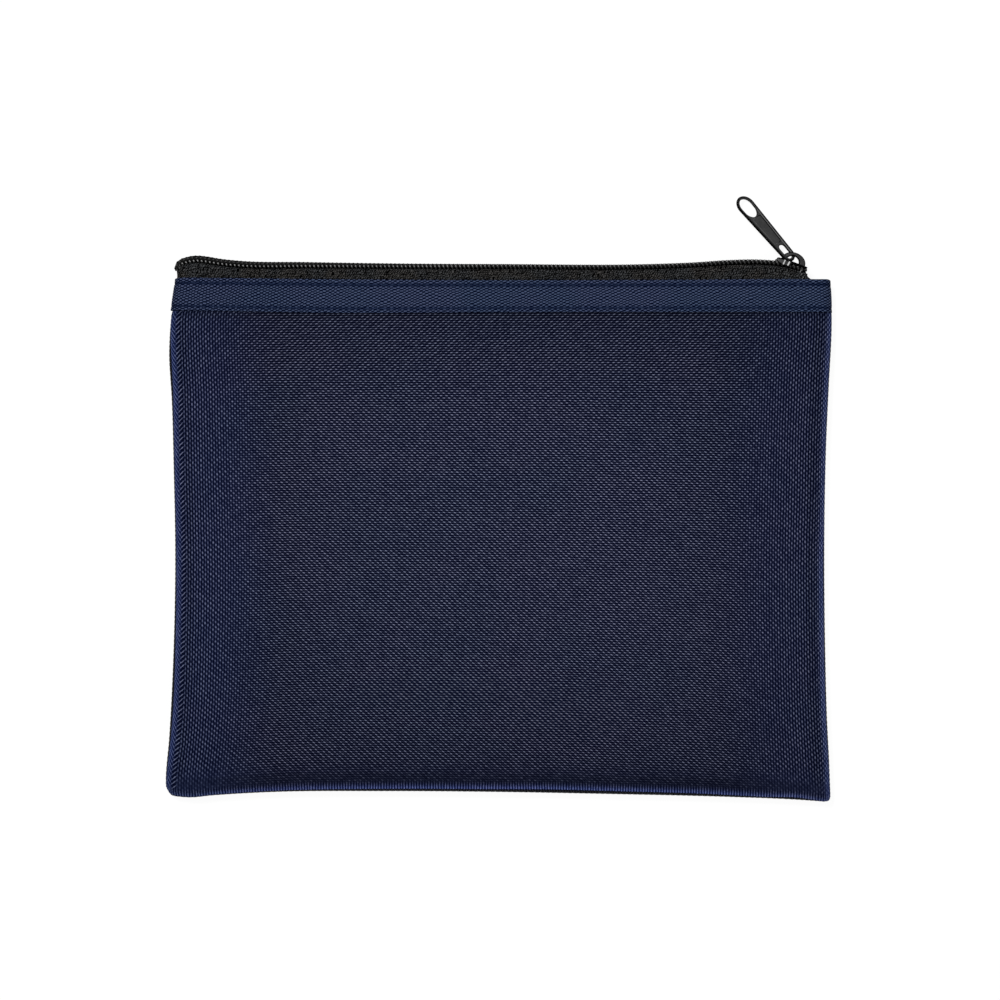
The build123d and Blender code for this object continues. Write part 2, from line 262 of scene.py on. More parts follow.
# Ends of the zip tape, as (y, x)
tape_start_at = curve_through([(70, -113.0), (77, -113.1), (78.2, -112.9), (80, -113.05), (81.5, -113.2)])
tape_end_at = curve_through([
    (70, 109.5), (76.4, 109.3), (77.2, 108.2), (77.9, 107.35), (78.6, 107.2), (79.3, 107.45),
    (80.0, 106.95), (81.0, 107.2)])


def smooth_step(value, low, high):
    t = np.clip((value - low) / (high - low), 0, 1)
    return t * t * (3 - 2 * t)


def fade(value, low, high):
    return 1 - smooth_step(value, low, high)


def turns(count):
    """Even angles round a full turn."""
    return np.linspace(0, 2 * math.pi, count, endpoint=False)


def unit(vectors):
    return vectors / np.linalg.norm(vectors, axis=-1, keepdims=True)


# Meshes


def add_object(name, data):
    made = bpy.data.objects.new(name, data)
    bpy.context.scene.collection.objects.link(made)
    return made


def add_mesh(name, points, faces, material, body="pouch"):
    """A smooth-shaded piece from points in millimetres, riding on a body."""
    mesh = bpy.data.meshes.new(name)
    mesh.from_pydata((np.asarray(points) * MM).tolist(), [], [tuple(f) for f in faces])
    mesh.polygons.foreach_set("use_smooth", np.ones(len(mesh.polygons), bool))
    mesh.materials.append(material)
    piece = add_object(name, mesh)
    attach(piece, body)
    return piece


def keep_value(piece, name, values):
    """Keeps a value on each point of a piece, for its material."""
    kept = piece.data.attributes.new(name, "FLOAT", "POINT")
    kept.data.foreach_set("value", np.asarray(values, np.float32).ravel())


def grid_faces(rows, columns, around=False, flip=False):
    """Quads of a grid of points, kept row by row; around joins its last column to its first."""
    index = np.arange(rows * columns).reshape(rows, columns)
    right = np.roll(index, -1, axis=1)
    quads = np.stack([index[:-1], index[1:], right[1:], right[:-1]], axis=-1)
    quads = quads if around else quads[:, :-1]
    quads = quads.reshape(-1, 4)
    return quads[:, ::-1] if flip else quads


def add_grid(name, points, material, threads, flip=False, **values):
    """A cloth piece from a grid of points, with thread counts as its UV map and values kept on its points."""
    rows, columns = points.shape[:2]
    piece = add_mesh(name, points.reshape(-1, 3), grid_faces(rows, columns, flip=flip), material)
    mesh = piece.data
    corner = np.zeros(len(mesh.loops), int)
    mesh.loops.foreach_get("vertex_index", corner)
    layer = mesh.uv_layers.new(name="threads")
    layer.data.foreach_set("uv", threads.reshape(-1, 2)[corner].astype(np.float32).ravel())
    for key, value in values.items():
        keep_value(piece, key, value)
    return piece


def shares(rows, columns):
    """Shares across a grid, from -1 to 1, and down it, from 0 to 1."""
    return np.meshgrid(np.linspace(-1, 1, columns), np.linspace(0, 1, rows))


def crossings(rows, columns):
    """Thread counts of a grid's points, and whether the weft is on top there."""
    row, column = np.mgrid[0:rows, 0:columns]
    return np.stack([column, row], axis=-1).astype(float), (row + column) % 2 == 0


def outward(points, flip):
    """Unit normals of a grid of points."""
    normal = unit(np.cross(np.gradient(points, axis=0), np.gradient(points, axis=1)))
    return -normal if flip else normal


def tube(path, radius, sides, reference, closed=False):
    """Points and faces of a round tube along a path, capped or closed on itself.

    The reference is a direction that the path never takes.
    """
    path = np.asarray(path, float)
    count = len(path)
    ahead = np.roll(path, -1, axis=0) - np.roll(path, 1, axis=0) if closed else np.gradient(path, axis=0)
    ahead = unit(ahead)
    across = unit(np.cross(ahead, np.asarray(reference, float)))
    upward = np.cross(across, ahead)
    turn = turns(sides)
    size = np.broadcast_to(radius, count)[:, None, None]
    ring = across[:, None] * np.cos(turn)[None, :, None] + upward[:, None] * np.sin(turn)[None, :, None]
    points = (path[:, None] + size * ring).reshape(-1, 3)
    faces = [tuple(f) for f in grid_faces(count, sides, around=True)]
    last = (count - 1) * sides
    if closed:
        faces += [(last + i, i, (i + 1) % sides, last + (i + 1) % sides) for i in range(sides)]
    else:
        faces.append(tuple(range(sides)))
        faces.append(tuple(reversed(range(last, last + sides))))
    return points, faces


def join(parts):
    """Several (points, faces) as one."""
    points, faces, start = [], [], 0
    for some_points, some_faces in parts:
        points.append(some_points)
        faces += [tuple(i + start for i in face) for face in some_faces]
        start += len(some_points)
    return np.concatenate(points), faces


def stand(piece, node):
    """Hides the CAD node that a piece stands for."""
    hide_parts(node)
    return piece


def thicken(piece, thickness):
    """Gives a cloth piece its thickness, inwards."""
    solid = piece.modifiers.new("thickness", "SOLIDIFY")
    solid.thickness = thickness * MM
    solid.offset = -1
    return piece


# Materials


class Look:
    """A node material round one Principled shader, with short ways to add nodes."""

    def __init__(self, name, **sockets):
        self.material = bpy.data.materials.new(name)
        self.material.use_nodes = True
        self.tree = self.material.node_tree
        self.shader = self.tree.nodes["Principled BSDF"]
        self.set(**sockets)

    def plug(self, value, socket):
        """Links an output to a socket, or sets the socket to a plain value."""
        if isinstance(value, bpy.types.NodeSocket):
            self.tree.links.new(value, socket)
        else:
            socket.default_value = value

    def set(self, **sockets):
        for socket, value in sockets.items():
            self.plug(value, self.shader.inputs[socket.replace("_", " ")])

    def add(self, kind, inputs, output=0, **settings):
        """Adds a node with given inputs and returns one of its outputs."""
        made = self.tree.nodes.new(kind)
        for key, value in settings.items():
            setattr(made, key, value)
        for key, value in inputs.items():
            self.plug(value, made.inputs[key])
        return made.outputs[output]

    def math(self, operation, first, second=0.0):
        return self.add("ShaderNodeMath", {0: first, 1: second}, operation=operation)

    def plus(self, first, second):
        return self.math("ADD", first, second)

    def minus(self, first, second):
        return self.math("SUBTRACT", first, second)

    def times(self, first, second):
        return self.math("MULTIPLY", first, second)

    def most(self, first, second):
        return self.math("MAXIMUM", first, second)

    def size(self, value):
        return self.math("ABSOLUTE", value)

    def ramp(self, value, low, high, start=0.0, end=1.0):
        """Runs smoothly from start to end while the value runs from low to high."""
        inputs = {"Value": value, "From Min": low, "From Max": high, "To Min": start, "To Max": end}
        return self.add("ShaderNodeMapRange", inputs, interpolation_type="SMOOTHSTEP")

    def mix(self, share, first, second, blend="MIX"):
        inputs = {0: share, 6: first, 7: second}
        return self.add("ShaderNodeMix", inputs, 2, data_type="RGBA", blend_type=blend)

    def blend(self, share, first, second):
        """A value that runs from the first to the second."""
        return self.add("ShaderNodeMix", {0: share, 2: first, 3: second}, data_type="FLOAT")

    def stops(self, value, colours):
        """Colours at given shares, run together in straight lines."""
        made = self.add("ShaderNodeValToRGB", {0: value})
        elements = made.node.color_ramp.elements
        between = [elements.new(share) for share, _ in colours[1:-1]]
        for stop, (share, colour) in zip([elements[0], *between, elements[-1]], colours):
            stop.position = share
            stop.color = (*colour, 1)
        return made

    def split(self, vector):
        return [self.add("ShaderNodeSeparateXYZ", {0: vector}, axis) for axis in (0, 1)]

    def noise(self, scale, detail=2.0, output="Fac"):
        """Noise in the object's own space, scale in waves a metre."""
        place = self.add("ShaderNodeTexCoord", {}, "Object")
        return self.add("ShaderNodeTexNoise", {"Vector": place, "Scale": scale, "Detail": detail}, output)

    def tinted(self, colour, tint):
        return self.mix(1.0, colour, tint, "MULTIPLY")

    def patches(self, scale, low, high, first, second):
        """Two tints in soft patches."""
        return self.mix(self.ramp(self.noise(scale), low, high), first, second)

    def threads(self, scale, stray_along, stray_across):
        """Thread counts along and across, from the piece's UV map, straying a little."""
        counts = self.split(self.add("ShaderNodeUVMap", {}, uv_map="threads"))
        strays = self.split(self.noise(scale, output="Color"))
        limits = (stray_along, stray_across)
        return [self.plus(count, self.times(self.minus(stray, 0.5), limit))
                for count, stray, limit in zip(counts, strays, limits)]

    def wave(self, count):
        """Cosine that is 1 or -1 on a thread and 0 halfway to the next."""
        return self.math("COSINE", self.times(count, math.pi))

    def leaning(self, place, crossways, lean):
        """A thread count that leans within each crossing."""
        within = self.minus(crossways, self.math("ROUND", crossways))
        return self.plus(place, self.times(within, lean))

    def each(self, along, across):
        """A steady random value for each crossing of threads."""
        crossing = {0: self.math("ROUND", along), 1: self.math("ROUND", across)}
        place = self.add("ShaderNodeCombineXYZ", crossing)
        return self.add("ShaderNodeTexWhiteNoise", {"Vector": place}, "Value", noise_dimensions="2D")

    def kept(self, name):
        """A value kept on the piece's points."""
        return self.add("ShaderNodeAttribute", {}, "Fac", attribute_name=name)

    def finish(self, colour, height=None, depth=0.0, strength=1.0, **sockets):
        self.set(Base_Color=colour, **sockets)
        if height is not None:
            relief = {"Height": height, "Distance": depth * MM, "Strength": strength}
            self.set(Normal=self.add("ShaderNodeBump", relief))
        return self.material


def grey(level):
    return (level, level, level, 1)


WHITE = grey(1)


def mesh_light(look, along, across):
    """Painted light and shade of the open plain weave.

    In the middle it shows bright crowns of weft, slanting strokes, dim warp and black holes, towards the
    sides dashes in brick order, on the rolled edges slanting strokes, and on the hem the warp alone.
    """
    slant = look.kept("slant")
    warp = look.wave(along)
    weft = look.wave(look.leaning(across, along, look.times(slant, 0.35)))
    over = look.times(warp, weft)
    warp_body = look.ramp(look.size(warp), 0.62, 1.0)
    weft_body = look.ramp(look.size(weft), 0.66, 1.0)
    crown = look.times(weft_body, look.ramp(over, -0.1, 0.9, 0.38, 1.0))
    falling = look.ramp(look.wave(look.minus(along, across)), 0.45, 1.0)
    rising = look.ramp(look.wave(look.plus(along, across)), 0.45, 1.0)
    stroke = look.most(look.times(falling, look.ramp(slant, 0.3, -1.0, 0.06, 0.3)),
                       look.times(rising, look.ramp(slant, -1.0, 0.6, 0.08, 0.24)))
    open_weave = look.most(look.most(crown, look.times(warp_body, 0.06)), stroke)
    dashes = look.times(look.ramp(look.size(warp), 0.4, 1.0), look.ramp(over, -0.8, 0.9, 0.22, 0.72))
    dashes = look.most(dashes, look.times(stroke, 0.6))
    twill = look.blend(look.kept("fold"), rising, look.ramp(falling, 0, 1, 0.12, 0.52))
    twill = look.most(look.times(twill, 0.95), look.times(dashes, 0.4))
    upright = look.plus(0.11, look.times(warp_body, 0.4))
    light = open_weave
    for place, other in (("side", dashes), ("calm", 0.24), ("roll", twill), ("hem", upright)):
        light = look.blend(look.kept(place), light, other)
    return light


def mesh_look(name, flat_colours, edge_colours):
    """Mesh cloth: bluer at its edges, with a painted sheen where they are tilted, soft patches, painted
    shadows by the seams and under the webbing, brighter towards the sides, a painted pool of light in the
    middle and a painted sheen on the steepest part of its rolled edges.
    """
    look = Look(name, Roughness=0.6, Sheen_Weight=0.0)
    along, across = look.threads(420, 0.5, 0.5)
    light = mesh_light(look, along, across)
    shown = look.times(light, look.plus(0.8, look.times(look.each(along, across), 0.4)))
    # painted sheen: the bluer, brighter edge colours where the cloth is tilted
    colour = look.mix(look.kept("edge"), look.stops(shown, flat_colours), look.stops(shown, edge_colours))
    factors = [
        look.patches(32, 0.35, 0.65, (0.94, 0.98, 1.0, 1), (1.04, 1.0, 1.03, 1)),
        look.mix(look.kept("band"), WHITE, (0.6, 0.64, 0.62, 1)),
        look.mix(look.kept("side"), WHITE, (1.2, 1.18, 1.06, 1)),
        # painted light: brightest in the middle, darker towards the corners
        look.mix(look.kept("middle"), (0.56, 0.56, 0.6, 1), (1.0, 1.0, 1.02, 1)),
        # painted sheen: brighter on the steepest part of the rolled edges
        look.mix(look.kept("fold"), WHITE, (2.3, 2.25, 2.0, 1)),
    ]
    for factor in factors:
        colour = look.tinted(colour, factor)
    look.set(Specular_IOR_Level=look.times(shown, 0.12))
    return look.finish(colour, height=light, depth=0.1, strength=0.4)


def webbing_look(name, colours):
    """Close plain weave: dark dips in brick order, wandering a little, and painted shade in the grooves under
    the stitches.
    """
    look = Look(name, Roughness=0.7, Sheen_Weight=0.0)
    along, across = look.threads(260, 1.6, 2.4)
    weft = look.ramp(look.wave(look.leaning(across, along, 0.25)), -0.7, 0.7, -1.0, 1.0)
    dips = look.ramp(look.times(look.wave(along), weft), -0.75, 0.75)
    gap = look.ramp(along, 20, 70, 0.35, 0.85)
    light = look.times(dips, look.ramp(look.size(look.wave(along)), 0.0, 0.6, gap, 1.0))
    shown = look.times(light, look.plus(0.75, look.times(look.noise(1300, 3.0), 0.5)))
    # painted shade along the grooves under the stitches
    shown = look.times(shown, look.minus(1.0, look.times(look.kept("groove"), 0.72)))
    tint = look.patches(40, 0.35, 0.65, (0.92, 0.98, 1.0, 1), (1.06, 1.0, 1.04, 1))
    look.set(Specular_IOR_Level=look.times(shown, 0.1))
    colour = look.tinted(look.stops(shown, colours), tint)
    return look.finish(colour, height=light, depth=0.08, strength=0.5)


def tape_look(name, colours):
    """Fine twill: narrow slanting ribs, broken up by thread noise."""
    look = Look(name, Roughness=0.75, Sheen_Weight=0.0, Specular_IOR_Level=0.0)
    along, across = look.threads(700, 2.6, 2.6)
    rib = look.ramp(look.size(look.wave(look.minus(along, look.times(across, 0.6)))), 0.2, 0.95)
    bead = look.ramp(look.size(look.wave(across)), 0.1, 0.9, 0.4, 1.0)
    light = look.times(rib, bead)
    shown = look.times(light, look.plus(0.2, look.times(look.noise(1100, 3.0), 1.6)))
    tint = look.patches(90, 0.4, 0.6, (1.05, 1.0, 0.95, 1), (0.96, 1.0, 1.04, 1))
    colour = look.tinted(look.stops(shown, colours), tint)
    return look.finish(colour, height=light, depth=0.08, strength=0.6)


def thread_look(name, dark, light):
    """Twisted sewing thread."""
    look = Look(name, Roughness=0.6, Specular_IOR_Level=0.08, Sheen_Weight=0.0)
    ply = look.noise(2600, 1.0)
    colour = look.mix(look.ramp(ply, 0.35, 0.65), dark, light)
    return look.finish(colour, height=ply, depth=0.05, strength=0.5)


def nylon_look(name, dark, light, crown):
    """Smooth nylon of the coil, with a faint unevenness, and a pale painted highlight on the outer crown of
    each turn.
    """
    look = Look(name, Specular_IOR_Level=0.0)
    cloud = look.noise(700)
    colour = look.mix(look.ramp(cloud, 0.3, 0.7), dark, light)
    # painted highlight: the crown colour goes where the coil's painted shine is kept
    colour = look.mix(look.kept("painted_shine"), colour, crown)
    return look.finish(colour, Roughness=look.ramp(cloud, 0.3, 0.7, 0.24, 0.38))


def metal_look(name, face, gloss):
    """Dark coated metal with a fine cast grain and slightly uneven gloss; painted shade makes its rims
    blacker and takes their reflection away, and painted highlights make it pale where it should catch the
    light.
    """
    look = Look(name)
    grain, cloud = look.noise(5200, 3.0), look.noise(420)
    colour = look.mix(look.ramp(cloud, 0.35, 0.65, 0.0, 0.3), face, (0.06, 0.06, 0.061, 1))
    # painted shade: rims blackened
    colour = look.mix(look.kept("rim"), colour, grey(0.003))
    # painted highlight: pale where the painted shine is kept
    colour = look.mix(look.kept("painted_shine"), colour, grey(0.6))
    # painted shade: blackened rims lose their reflection
    look.set(Specular_IOR_Level=look.ramp(look.kept("rim"), 0.0, 0.9, 0.35, 0.0))
    roughness = look.ramp(cloud, 0.3, 0.7, gloss, gloss + 0.1)
    return look.finish(colour, height=grain, depth=0.02, strength=0.25, Roughness=roughness)


# Colours of the cloths, as (share of light, colour)
mesh_colours = [(0.0, (0.0, 0.0003, 0.006)), (0.12, (0.001, 0.002, 0.0135)), (0.4, (0.0245, 0.0305, 0.066)),
                (1.0, (0.215, 0.235, 0.33))]
# bluer and brighter: a painted sheen where the cloth is tilted at its edges
mesh_edge_colours = [(0.0, (0.0004, 0.001, 0.012)), (0.12, (0.005, 0.0095, 0.05)),
                     (0.4, (0.046, 0.065, 0.185)), (1.0, (0.21, 0.25, 0.49))]
# near-black painted shade where the back panel's rolled edge shows beyond the front
shaded_edge_colours = [(0.0, (0.0002, 0.0002, 0.001)), (0.12, (0.001, 0.001, 0.003)),
                       (0.5, (0.002, 0.002, 0.005)), (1.0, (0.005, 0.005, 0.009))]
webbing_colours = [(0.0, (0.0, 0.001, 0.01)), (0.5, (0.0095, 0.0185, 0.05)), (1.0, (0.062, 0.085, 0.155))]
tape_colours = [(0.0, (0.0002, 0.0002, 0.0002)), (0.5, (0.0075, 0.0075, 0.0078)),
                (1.0, (0.064, 0.064, 0.065))]
binding_colours = [(0.0, (0.002, 0.002, 0.004)), (0.5, (0.01, 0.011, 0.022)), (1.0, (0.03, 0.032, 0.06))]

front_mesh_material = mesh_look("front_mesh_cloth", mesh_colours, mesh_edge_colours)
back_mesh_material = mesh_look("back_mesh_cloth", mesh_colours, shaded_edge_colours)
webbing_material = webbing_look("webbing_cloth", webbing_colours)
tape_material = tape_look("zip_tape_cloth", tape_colours)
binding_material = tape_look("binding_cloth", binding_colours)
thread_material = thread_look("navy_thread", (0.004, 0.01, 0.036, 1), (0.02, 0.034, 0.085, 1))
tack_material = thread_look("tack_thread", grey(0.03), grey(0.3))
# grey(0.5) is the painted highlight on the coil's turns
coil_material = nylon_look("coil_nylon", grey(0.001), grey(0.005), grey(0.5))
cord_material = thread_look("coil_cord", grey(0.002), grey(0.008))
slider_material = metal_look("slider_metal", (0.036, 0.036, 0.037, 1), 0.24)
tab_material = metal_look("tab_metal", (0.03, 0.03, 0.0305, 1), 0.26)

# Mesh panels


def rolled(share, edge, turn):
    """How far out a share of cloth lies that rolls over at its edge, and how level it is, 1 when flat."""
    flat = edge - ROLL
    along = share * (flat + ROLL * turn)
    angle = np.clip((along - flat) / ROLL, 0, turn)
    return np.minimum(along, flat) + ROLL * np.sin(angle), np.cos(angle)


def seam_turn(peek):
    """The further angle by which the back panel comes round the edge where it shows beyond the front."""
    return np.arccos(1 - peek / ROLL)


def panel_edge(share, edge, peek, back):
    """Rolls a panel over at an edge: the back one further round, the front one short of it by the peek."""
    if back:
        return rolled(share, edge, RIGHT_ANGLE + seam_turn(peek))
    return rolled(share, edge - peek, RIGHT_ANGLE)


def round_corner(out, y, side, bottom):
    """Draws the bottom corners in to an arc, in plan."""
    p = np.clip(1 - (side - out) / CORNER, 0, 1)
    q = np.clip(1 - (y - bottom) / CORNER, 0, 1)
    drawn_out = np.where(p > 0, side - CORNER * (1 - p * np.sqrt(1 - q**2 / 2)), out)
    drawn_y = np.where(q > 0, bottom + CORNER * (1 - q * np.sqrt(1 - p**2 / 2)), y)
    return drawn_out, drawn_y


def tuck_at(y):
    """How far the cloth is drawn in towards the seam under the webbing."""
    return TUCK * smooth_step(y, WEBBING_LOW - 2.5, WEBBING_LOW + 0.5)


def front_top(x, y):
    """Level of the front panel: sagging between its edges, gently rippled, drawn in under the webbing."""
    hollow = 1 - np.clip(np.abs(x) / SAG_HALF_WIDTH, 0, 1) ** 4
    hollow = hollow * (1 - np.clip(np.abs(y - SAG_MIDDLE) / SAG_HALF_HEIGHT, 0, 1) ** 4)
    broad = np.sin(x / 9.5 + 1.3 * np.sin(y / 31)) * np.sin(y / 13.5 + 0.7)
    fine = 0.6 * np.sin(x / 5.1 - y / 6.7)
    return FRONT_LEVEL - SAG * hollow + RIPPLE * (broad + fine) * hollow - tuck_at(y)


def panel_places(back):
    """Where a panel's crossings lie, how far from its edges, and how far the cloth is tilted there."""
    rolled_more = ROLL * RIGHT_ANGLE - ROLL
    columns = 2 * round((MEAN_HALF_WIDTH + rolled_more) / WARP_PITCH) + 1
    rows = round((CLOTH_TOP + MEAN_DEPTH + rolled_more) / WEFT_PITCH) + 1
    share_x, share_y = shares(rows, columns)
    left = share_x < 0
    bottom, peek_y = bottom_at(share_x * HALF_WIDTH), bottom_peek_at(share_x * HALF_WIDTH)
    down, level_y = panel_edge(share_y, CLOTH_TOP - bottom, peek_y, back)
    y = CLOTH_TOP - down
    side = np.where(left, left_at(y), right_at(y))
    peek_x = np.where(left, left_peek_at(y), right_peek_at(y))
    inset = TUCK * smooth_step(y, WEBBING_LOW - 0.5, WEBBING_LOW + 1.5)
    out, level_x = panel_edge(np.abs(share_x), side - inset, peek_x, back)
    out, y = round_corner(out, y, side, bottom)
    x = np.where(left, -out, out)
    if back:
        z = MIDDLE - (MIDDLE - (BACK_LEVEL + tuck_at(y))) * level_x * level_y
    else:
        lift_x, lift_y = np.sin(seam_turn(peek_x)) * (1 - level_x), np.sin(seam_turn(peek_y)) * (1 - level_y)
        seam = MIDDLE + (MIDDLE - BACK_LEVEL) * np.maximum(lift_x, lift_y)
        z = seam + (front_top(x, y) - seam) * level_x * level_y
    return SimpleNamespace(x=x, y=y, z=z, left=left, from_side=side - out, from_bottom=y - bottom,
                           tilt_x=1 - level_x, tilt_y=1 - level_y)


def panel_values(at):
    """How a panel looks at each crossing, by the names that the mesh's look reads.

    hem and roll are the tilted edges and fold is their steepest part, calm is above the hem, band is painted
    shade, edge is how blue it is, with a painted sheen where the cloth is tilted, and middle how much painted
    light it gets.
    """
    near_side = fade(at.from_side, 5.0, 42.0)
    reach = np.minimum(at.from_side, at.from_bottom)
    seam_shade = 0.4 * smooth_step(reach, 2.7, 4.2) * fade(reach, 6.0, 7.5)
    webbing_shade = 0.6 * fade(WEBBING_LOW - at.y, 0.6, 3.2)
    blue_edge = np.maximum(smooth_step(at.tilt_x, 0.1, 0.4), smooth_step(at.tilt_y, 0.05, 0.5))
    blue_side = np.where(at.left, 0.42, 0.28) * near_side
    sideways = np.abs(at.x) / BRIGHT_SIDEWAYS
    upright = at.y - BRIGHT_MIDDLE
    upright = np.where(upright > 0, upright / BRIGHT_UP, -upright / BRIGHT_DOWN)
    return {
        "side": near_side,
        "hem": smooth_step(at.tilt_y, 0.02, 0.2),
        "roll": smooth_step(at.tilt_x, 0.012, 0.06) * np.where(at.left, 1.0, 0.25),
        "fold": np.maximum(smooth_step(at.tilt_x, 0.03, 0.3), smooth_step(at.tilt_y, 0.09, 0.6)),
        "calm": 0.65 * fade(at.from_bottom, 3.0, 13.0),
        "band": np.maximum(seam_shade, webbing_shade),
        "edge": np.maximum(blue_edge, blue_side),
        "middle": (1 - np.clip(sideways, 0, 1) ** 3) * (1 - np.clip(upright, 0, 1) ** 3),
        "slant": slant_at(at.y),
    }


def panel(name, back, material):
    """One mesh panel, with a point on every crossing of its threads, raised where the weft is on top."""
    at = panel_places(back)
    points = np.stack([at.x, at.y, at.z], axis=-1)
    threads, weft_on_top = crossings(*at.x.shape)
    relief = RELIEF * np.where(weft_on_top, 1.0, -0.6)
    points = points + outward(points, back) * relief[..., None]
    return add_grid(name, points, material, threads, flip=back, **panel_values(at))


front_mesh = stand(panel("front_mesh", False, front_mesh_material), "front_mesh_panel")
back_mesh = stand(panel("back_mesh", True, back_mesh_material), "back_mesh_panel")

# Webbing


def webbing_place(x, share):
    """Height on the band at a share of the way from its top edge to its low edge."""
    return webbing_top_at(x) + (webbing_low_at(x) - webbing_top_at(x)) * share


def webbing(name, back):
    """The woven band over the panel's top edge, rolled over at both ends, grooved under its stitches."""
    columns = round(2 * WEBBING_HALF_LENGTH / WEBBING_WARP) + 1
    rows = round(WEBBING_WIDTH / WEBBING_WEFT) + 1
    share_x, share_y = shares(rows, columns)
    y = webbing_place(share_x * WEBBING_HALF_REACH, share_y)
    left = share_x < 0
    side = np.where(left, left_at(y) + WEBBING_PROUD_LEFT, right_at(y) + WEBBING_PROUD_RIGHT)
    out, level = rolled(np.abs(share_x), side, RIGHT_ANGLE)
    rise = (WEBBING_LEVEL - MIDDLE) * level
    points = np.stack([np.where(left, -out, out), y, MIDDLE - rise if back else MIDDLE + rise], axis=-1)
    away = (share_y[..., None] - np.array([*STITCH_ROWS.values()])) * WEBBING_WIDTH
    groove = (np.exp(-((away / GROOVE_WIDTH) ** 2)) * GROOVE_SHARES).sum(-1)
    threads, weft_on_top = crossings(rows, columns)
    relief = RIB_RELIEF * np.where(weft_on_top, 1.0, -1.0) - GROOVE_DEPTH * groove
    points = points + outward(points, back) * relief[..., None]
    piece = add_grid(name, points, webbing_material, threads, flip=back, groove=groove)
    return thicken(piece, WEBBING_THICKNESS)


def stitch(middle, run, up, length=STITCH_LENGTH, radius=STITCH_RADIUS):
    """One thread stitch: a short tube that arches a little and dives at both ends."""
    share = np.linspace(-1, 1, 9)[:, None]
    arch = np.array(up) * radius * (0.35 - 1.6 * share**4)
    path = np.array(middle) + np.array(run) * share * length / 2 + arch
    return tube(path, radius * np.sqrt(1.02 - share[:, 0] ** 6), 7, up)


def sew(name, places, runs, up, material, **sizes):
    """A piece made of stitches, each at a place and along a run."""
    parts = [stitch(place, run, up, **sizes) for place, run in zip(places, runs)]
    return add_mesh(name, *join(parts), material)


def webbing_stitches(name, share, back):
    """A row of thread along the webbing."""
    up = (0, 0, -1) if back else UP
    level = WEBBING_LEVEL - GROOVE_DEPTH
    z = 2 * MIDDLE - level if back else level
    count = int(2 * STITCHED_HALF / STITCH_PITCH)
    along = (np.arange(count) - (count - 1) / 2) * STITCH_PITCH
    places = [(x, float(webbing_place(x, share)), z) for x in along]
    return sew(name, places, [(1, 0, 0)] * count, up, thread_material)


for face in FACES:
    band = stand(webbing(f"{face}_webbing_band", face == "back"), f"{face}_webbing")
    for row, share in STITCH_ROWS.items():
        thread = webbing_stitches(f"{face}_{row}_thread", share, face == "back")
        stand(thread, f"{face}_{row}_stitching")

# Seams inside


def seam_line(inset, place, step):
    """Points along one of the three seams, at an inset from the pouch's edge."""
    if place == "bottom":
        x = np.arange(-SEAM_HALF_WIDTH, SEAM_HALF_WIDTH, step)
        return np.stack([x, bottom_at(x) + inset], axis=-1)
    y = np.arange(SEAM_TOP, SEAM_LOW, -step)
    x = inset - left_at(y) if place == "left" else right_at(y) - inset
    return np.stack([x, y], axis=-1)


def binding(name, place):
    """Tape folded over the raw edges of one seam."""
    line = seam_line(0.0, place, BINDING_STEP)
    inner = seam_line(1.0, place, BINDING_STEP) - line
    section = [(BINDING_INSET - BINDING_COVER, BINDING_HALF), (BINDING_INSET - 0.4, BINDING_HALF),
               (BINDING_INSET, BINDING_HALF * 0.6)]
    section += [(inset, -rise) for inset, rise in reversed(section)]
    rows = []
    for inset, rise in section:
        plan = line + inner * inset
        rows.append(np.column_stack([plan, np.full(len(plan), MIDDLE + rise)]))
    points = np.stack(rows)
    counts, _ = crossings(*points.shape[:2])
    piece = add_grid(name, points, binding_material, counts * BINDING_STEP / TWILL_PITCH)
    return thicken(piece, BINDING_THICKNESS)


def seam_stitches(name, place):
    """The thread of one seam, on top of its binding."""
    line = seam_line(SEAM_STITCH_INSET, place, STITCH_PITCH)
    runs = [(*run, 0) for run in unit(np.gradient(line, axis=0))]
    places = [(*place, MIDDLE + SEAM_STITCH_RISE) for place in line]
    return sew(name, places, runs, UP, thread_material)


for place, length in (("left", 0.153), ("bottom", 0.21), ("right", 0.153)):
    cover = stand(binding(f"{place}_binding", place), f"{place}_seam_binding")
    stand(seam_stitches(f"{place}_seam_thread", place), f"{place}_seam_stitching")

# Zip


def distance_along(points):
    """Distance from the first point to each, along straight lines."""
    return np.concatenate([[0], np.cumsum(np.linalg.norm(np.diff(points, axis=0), axis=1))])


def zip_path(step):
    """Even points along the zip's middle line, their upward normals in plan, and distance along it."""
    given = np.array(zip_line, float)
    chord = distance_along(given)
    fine = np.linspace(0, chord[-1], 6000)
    dense = np.stack([curve_through(list(zip(chord, given[:, k])))(fine) for k in (0, 1)], axis=-1)
    length = distance_along(dense)
    at = np.arange(0, length[-1], step)
    points = np.stack([np.interp(at, length, dense[:, k]) for k in (0, 1)], axis=-1)
    ahead = unit(np.gradient(points, axis=0))
    normal = np.stack([-ahead[:, 1], ahead[:, 0]], axis=-1)
    return points, normal, at


def chain_places(points, normal, rise, depth):
    """Places on the zip's rolled chain: rise above its middle line in plan, and depth towards the front."""
    roll = np.radians(chain_roll_at(points[:, 0]))
    plan = points + normal * (rise * np.cos(roll) - depth * np.sin(roll))[:, None]
    return np.column_stack([plan, MIDDLE + depth * np.cos(roll) + rise * np.sin(roll)])


def half_turn(degrees):
    """An angle brought between -180 and 180."""
    return (degrees + 180) % 360 - 180


def coil_shine(x, turn):
    """How pale the painted highlight makes a coil along its wire: a bright spot on each turn, a faint one
    past it and a faint top.
    """
    degrees = np.degrees(turn)
    past = half_turn(degrees - shine_place_at(x))
    from_top = half_turn(degrees - COIL_TOP)
    shine = np.maximum(fade(np.abs(past), 2, 18), 0.14 * fade(np.abs(past - 42), 12, 34))
    shine = np.maximum(shine, 0.16 * fade(np.abs(from_top), 8, 34))
    return shine * shine_level_at(x)


